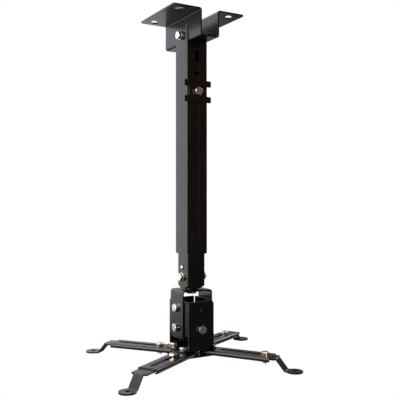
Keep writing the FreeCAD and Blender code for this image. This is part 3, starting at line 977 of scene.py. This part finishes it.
@dataclass(frozen=True)
class Softbox:
    """A rectangular lamp: place and size in metres, power in watts and tint."""

    name: str
    place_m: Triple
    size_m: Span
    watts: float
    tint: str

    def hang(self, aim: Vector) -> None:
        """Hang the lamp.

        Args:
            aim: point that it faces.
        """
        place = Vector(self.place_m)
        data = bpy.data.lights.new(self.name, "AREA")
        data.shape = "RECTANGLE"
        data.size, data.size_y = self.size_m
        data.energy = self.watts
        data.color = linear(self.tint)[:3]
        item = bpy.data.objects.new(self.name, data)
        item.location = place
        item.rotation_euler = (aim - place).to_track_quat("-Z", "Y").to_euler()
        bpy.context.scene.collection.objects.link(item)


@dataclass
class Studio:
    """White studio: floor, softboxes, camera, and a dome that is white behind the object only."""

    focal_px: float = 619.0
    image_px: float = 400.0
    sensor_mm: float = 36.0
    distance_mm: float = 832.0
    offset_mm: float = 11.7
    eye_mm: float = -244.0
    azimuth_deg: float = -30.0
    floor_m: float = 8.0
    floor_cells: int = 8
    floor_room_m: float = 0.27
    floor_white: float = 0.85
    shadow_m: Span = (0.2, 0.7)
    # Painted glow of the floor, seen only in reflections: a bright far stretch at the back left, dim
    # elsewhere, and a painted pool of light at the right.
    painted_glow_way: Triple = (-0.707, 0.707, 0.0)
    painted_glow_turn: Span = (0.16, 0.42)
    painted_glow_m: Span = (1.15, 2.5)
    painted_glow_level: Span = (0.09, 1.4)
    painted_pool_spot_m: Triple = (1.1, 0.3, 0.0)
    painted_pool_m: Span = (1.0, 0.4)
    painted_pool_level: float = 0.7
    backdrop_way: Triple = (-0.35, 0.9, 0.2)
    backdrop_span: Span = (0.47, 0.98)
    backdrop_level: float = 1.7
    backdrop_tint: str = "#f4f1ff"
    room_tint: str = "#52433a"
    paper_tint: str = "#f4f4f4"
    white: str = "#ffffff"
    lamps: Sequence[Softbox] = (
        Softbox("top_softbox", (-0.5, 0.3, 1.0), (1.6, 1.1), 22.0, "#fff6ea"),
        Softbox("left_softbox", (-1.1, -0.1, -0.1), (1.0, 0.75), 15.0, "#fffaf2"),
        Softbox("right_softbox", (1.2, 0.5, 0.45), (0.7, 0.7), 9.0, "#fff6ea"),
        Softbox("front_softbox", (-0.85, -1.45, 0.05), (0.4, 1.3), 10.0, "#fffaf2"),
    )

    def camera(self) -> None:
        """Place the camera level, at the photograph's viewing angle and lens."""
        turn = math.radians(self.azimuth_deg)
        ahead = Vector((-math.sin(turn), math.cos(turn), 0))
        right = Vector((math.cos(turn), math.sin(turn), 0))
        data = bpy.data.cameras.new("photo_camera")
        data.sensor_width = self.sensor_mm
        data.sensor_fit = "HORIZONTAL"
        data.lens = self.focal_px / self.image_px * self.sensor_mm
        item = bpy.data.objects.new("photo_camera", data)
        height = Vector((0, 0, self.eye_mm))
        item.location = (-ahead * self.distance_mm + right * self.offset_mm + height) * MM
        item.rotation_euler = (math.radians(90), 0, turn)
        bpy.context.scene.collection.objects.link(item)
        bpy.context.scene.camera = item

    def floor(self) -> None:
        """Lay a white paper floor, low enough for the mast's travel, that keeps the object's shadow.

        Its colour paints a glow that only reflections see: bright far off at the back left and in a pool at
        the right, and dim elsewhere.
        """
        bpy.ops.mesh.primitive_grid_add(
            x_subdivisions=self.floor_cells, y_subdivisions=self.floor_cells, size=self.floor_m,
            location=(0, 0, CAD_BOX[0][2] - self.floor_room_m))
        item = bpy.context.object
        item.name = "studio_floor"
        make_active(item)
        bpy.ops.object.transform_apply(location=True, rotation=True, scale=True)
        material = bpy.data.materials.new("white_paper_with_painted_glow")
        material.use_nodes = True
        tree = material.node_tree
        tree.nodes.clear()
        path = add_node(tree, "ShaderNodeLightPath")
        glossy = path.outputs["Is Glossy Ray"]
        place = add_node(tree, "ShaderNodeTexCoord").outputs["Object"]
        flat = add_node(tree, "ShaderNodeVectorMath", {"operation": "MULTIPLY"}, {0: place, 1: (1, 1, 0)})
        reach = add_node(tree, "ShaderNodeVectorMath", {"operation": "LENGTH"}, {0: flat.outputs[0]})
        whiten = add_node(
            tree, "ShaderNodeMapRange", {"interpolation_type": "SMOOTHSTEP"},
            {"Value": reach.outputs["Value"], "From Min": self.shadow_m[0], "From Max": self.shadow_m[1],
             "To Min": self.floor_white, "To Max": 1.0})
        # Painted glow for reflections: bright far off towards the back left, dim elsewhere.
        way = add_node(tree, "ShaderNodeVectorMath", {"operation": "NORMALIZE"}, {0: flat.outputs[0]})
        turn = add_node(
            tree, "ShaderNodeVectorMath", {"operation": "DOT_PRODUCT"},
            {0: way.outputs[0], 1: self.painted_glow_way})
        side = add_node(
            tree, "ShaderNodeMapRange", {"interpolation_type": "SMOOTHSTEP"},
            {"Value": turn.outputs["Value"], "From Min": self.painted_glow_turn[0], "From Max": self.painted_glow_turn[1]})
        far = add_node(
            tree, "ShaderNodeMapRange", {"interpolation_type": "SMOOTHSTEP"},
            {"Value": reach.outputs["Value"], "From Min": self.painted_glow_m[0], "From Max": self.painted_glow_m[1]})
        lit = add_node(
            tree, "ShaderNodeMath", {"operation": "MULTIPLY"},
            {0: side.outputs["Result"], 1: far.outputs["Result"]})
        painted_far_glow = add_node(
            tree, "ShaderNodeMapRange", None,
            {"Value": lit.outputs[0], "To Min": self.painted_glow_level[0], "To Max": self.painted_glow_level[1]})
        # Painted pool of light for reflections, at the right.
        apart = add_node(
            tree, "ShaderNodeVectorMath", {"operation": "DISTANCE"},
            {0: flat.outputs[0], 1: self.painted_pool_spot_m})
        painted_pool = add_node(
            tree, "ShaderNodeMapRange", {"interpolation_type": "SMOOTHSTEP"},
            {"Value": apart.outputs["Value"], "From Min": self.painted_pool_m[0], "From Max": self.painted_pool_m[1],
             "To Min": 0.0, "To Max": self.painted_pool_level})
        painted_shine = add_node(
            tree, "ShaderNodeMath", {"operation": "MAXIMUM"},
            {0: painted_far_glow.outputs["Result"], 1: painted_pool.outputs["Result"]})
        share = add_node(
            tree, "ShaderNodeMath", {"operation": "MULTIPLY"},
            {0: path.outputs["Is Camera Ray"], 1: whiten.outputs["Result"]})
        # Reflections see only the painted glow; the camera sees white paper that keeps the shadow.
        glow_share = add_node(
            tree, "ShaderNodeMath", {"operation": "MAXIMUM"}, {0: share.outputs[0], 1: glossy})
        level = add_node(
            tree, "ShaderNodeMix", {"data_type": "FLOAT"},
            {"Factor": glossy, "A": 1.0, "B": painted_shine.outputs[0]})
        paper = add_node(tree, "ShaderNodeBsdfDiffuse", None, {"Color": linear(self.paper_tint)})
        glow = add_node(
            tree, "ShaderNodeEmission", None,
            {"Color": linear(self.white), "Strength": level.outputs["Result"]})
        mix = add_node(
            tree, "ShaderNodeMixShader", None,
            {0: glow_share.outputs[0], 1: paper.outputs[0], 2: glow.outputs[0]})
        add_node(tree, "ShaderNodeOutputMaterial", None, {"Surface": mix.outputs[0]})
        item.data.materials.append(material)

    def dome(self) -> None:
        """Set the world: white to the camera, and to other rays white behind the object and dark before it."""
        world = bpy.data.worlds.new("studio_dome")
        bpy.context.scene.world = world
        world.use_nodes = True
        tree = world.node_tree
        tree.nodes.clear()
        path = add_node(tree, "ShaderNodeLightPath")
        way = add_node(tree, "ShaderNodeTexCoord").outputs["Generated"]
        turn = add_node(
            tree, "ShaderNodeVectorMath", {"operation": "DOT_PRODUCT"},
            {0: way, 1: Vector(self.backdrop_way).normalized()})
        level = add_node(
            tree, "ShaderNodeMapRange", {"interpolation_type": "SMOOTHSTEP"},
            {"Value": turn.outputs["Value"],
             "From Min": self.backdrop_span[0], "From Max": self.backdrop_span[1]})
        tint = add_node(tree, "ShaderNodeValToRGB", None, {"Fac": level.outputs["Result"]})
        set_ramp(tint, ((0.0, linear(self.room_tint)), (1.0, linear(self.backdrop_tint))))
        white = add_node(
            tree, "ShaderNodeBackground", None, {"Color": linear(self.white), "Strength": 1.0})
        studio = add_node(
            tree, "ShaderNodeBackground", None,
            {"Color": tint.outputs["Color"], "Strength": self.backdrop_level})
        mix = add_node(
            tree, "ShaderNodeMixShader", None,
            {0: path.outputs["Is Camera Ray"], 1: studio.outputs[0], 2: white.outputs[0]})
        add_node(tree, "ShaderNodeOutputWorld", None, {"Surface": mix.outputs[0]})

    def build(self) -> None:
        """Set up the studio."""
        self.camera()
        self.floor()
        self.dome()
        middle = Vector((0, 0, self.eye_mm * MM))
        for lamp in self.lamps:
            lamp.hang(middle)
        bpy.context.scene.view_settings.view_transform = "Standard"


def main() -> None:
    """Build the pieces, dress them and set up the studio."""
    logging.basicConfig(level=logging.INFO, format="%(message)s")
    coat = PowderCoat().material()
    zinc = ZincPlate().material()
    FoldedSheets(coat).build()
    Fasteners(zinc, coat).build()
    Studio().build()


if __name__ == "__main__":
    main()
